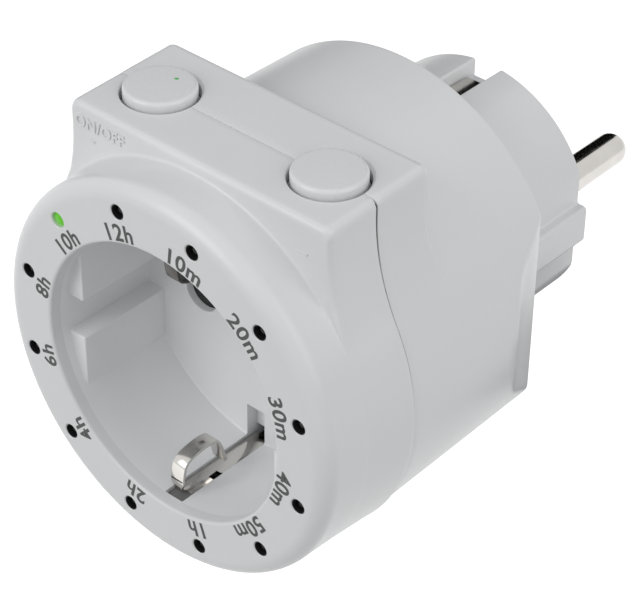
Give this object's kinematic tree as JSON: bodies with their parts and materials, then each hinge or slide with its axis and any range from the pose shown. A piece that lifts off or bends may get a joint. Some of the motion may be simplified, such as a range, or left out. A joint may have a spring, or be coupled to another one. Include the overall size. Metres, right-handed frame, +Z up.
{
  "type": "plug-in timer switch",
  "caption": "Round plug-in countdown timer with an earthed socket recess, a ring of indicator lights, two push buttons on top, and an earthed plug behind.",
  "frame": {"origin": "centre of the plug collar's end face, on the plug's axis", "axes": "+Y along the pins toward the wall, +Z up toward the buttons, +X to the right as seen from the room"},
  "size_m": [0.0568, 0.0834, 0.0593],
  "materials": {
    "white_shell": "satin white moulded shell",
    "white_insert": "satin white moulding",
    "dark_plastic": "matt",
    "black_plastic": "matt",
    "grey_plastic": "matt",
    "pale_plastic": "matt",
    "yellow_plastic": "matt",
    "blue_plastic": "satin",
    "board": "solder mask",
    "green_light": "clear green",
    "clear_light": "milky clear",
    "brass": "stamped",
    "nickel": "nickel plated",
    "steel": "zinc plated"
  },
  "bodies": {
    "housing": {"front_housing": "white_shell", "rear_housing": "white_shell", "socket_insert": "white_insert", "light_shield_ring": "dark_plastic", "led_ring_board": "board", "led_10min": "clear_light", "led_20min": "clear_light", "led_30min": "clear_light", "led_40min": "clear_light", "led_50min": "clear_light", "led_1h": "clear_light", "led_2h": "clear_light", "led_4h": "clear_light", "led_6h": "clear_light", "led_8h": "clear_light", "led_10h": "green_light", "led_12h": "clear_light", "led_connector": "pale_plastic", "shutter_spring": "steel", "contact_carrier": "grey_plastic", "carrier_screws": "steel", "live_receptacle": "brass", "neutral_receptacle": "brass", "earth_bracket": "nickel", "live_pin": "nickel", "neutral_pin": "nickel", "pin_carrier": "grey_plastic", "live_busbar": "brass", "neutral_busbar": "brass", "main_board": "board", "relay": "black_plastic", "film_capacitor": "yellow_plastic", "electrolytic_capacitor": "dark_plastic", "varistor": "blue_plastic", "fuse": "pale_plastic", "rectifier": "black_plastic", "microcontroller": "black_plastic", "button_board": "board", "switch_body_left": "dark_plastic", "switch_body_right": "dark_plastic", "status_led": "clear_light", "ribbon_cable": "dark_plastic", "housing_screws": "steel"},
    "on_off_cap": {"on_off_button": "white_shell", "status_lens": "green_light"},
    "timer_cap": {"timer_button": "white_shell"},
    "left_plunger": {"plunger_left": "black_plastic"},
    "right_plunger": {"plunger_right": "black_plastic"},
    "contact_shutter": {"shutter": "grey_plastic"},
    "upper_clip": {"earth_clip_upper": "nickel"},
    "lower_clip": {"earth_clip_lower": "nickel"}
  },
  "joints": [
    {"name": "on_off_press", "type": "slide", "parent": "housing", "child": "on_off_cap", "axis": [0, 0, -1], "range_m": [0, 0.0005], "stiffness_N_per_m": 600, "springref_m": -0.0005},
    {"name": "timer_press", "type": "slide", "parent": "housing", "child": "timer_cap", "axis": [0, 0, -1], "range_m": [0, 0.0005], "stiffness_N_per_m": 600, "springref_m": -0.0005},
    {"name": "left_plunger_press", "type": "slide", "parent": "housing", "child": "left_plunger", "axis": [0, 0, -1], "range_m": [0, 0.0005]},
    {"name": "right_plunger_press", "type": "slide", "parent": "housing", "child": "right_plunger", "axis": [0, 0, -1], "range_m": [0, 0.0005]},
    {"name": "shutter_turn", "type": "hinge", "parent": "housing", "child": "contact_shutter", "pos_m": [0, -0.0432, 0], "axis": [0, 1, 0], "range_deg": [0, 40], "stiffness_Nm_per_rad": 0.01, "springref_deg": -5.73, "deforming": ["shutter_spring"]},
    {"name": "upper_clip_flex", "type": "hinge", "parent": "housing", "child": "upper_clip", "pos_m": [0, -0.04165, 0.01995], "axis": [-1, 0, 0], "range_deg": [0, 8.5], "stiffness_Nm_per_rad": 1},
    {"name": "lower_clip_flex", "type": "hinge", "parent": "housing", "child": "lower_clip", "pos_m": [0, -0.04165, -0.01995], "axis": [1, 0, 0], "range_deg": [0, 8.5], "stiffness_Nm_per_rad": 1}
  ],
  "couplings": [
    {"joint": "left_plunger_press", "follows": "on_off_press", "ratio": 1},
    {"joint": "right_plunger_press", "follows": "timer_press", "ratio": 1}
  ]
}
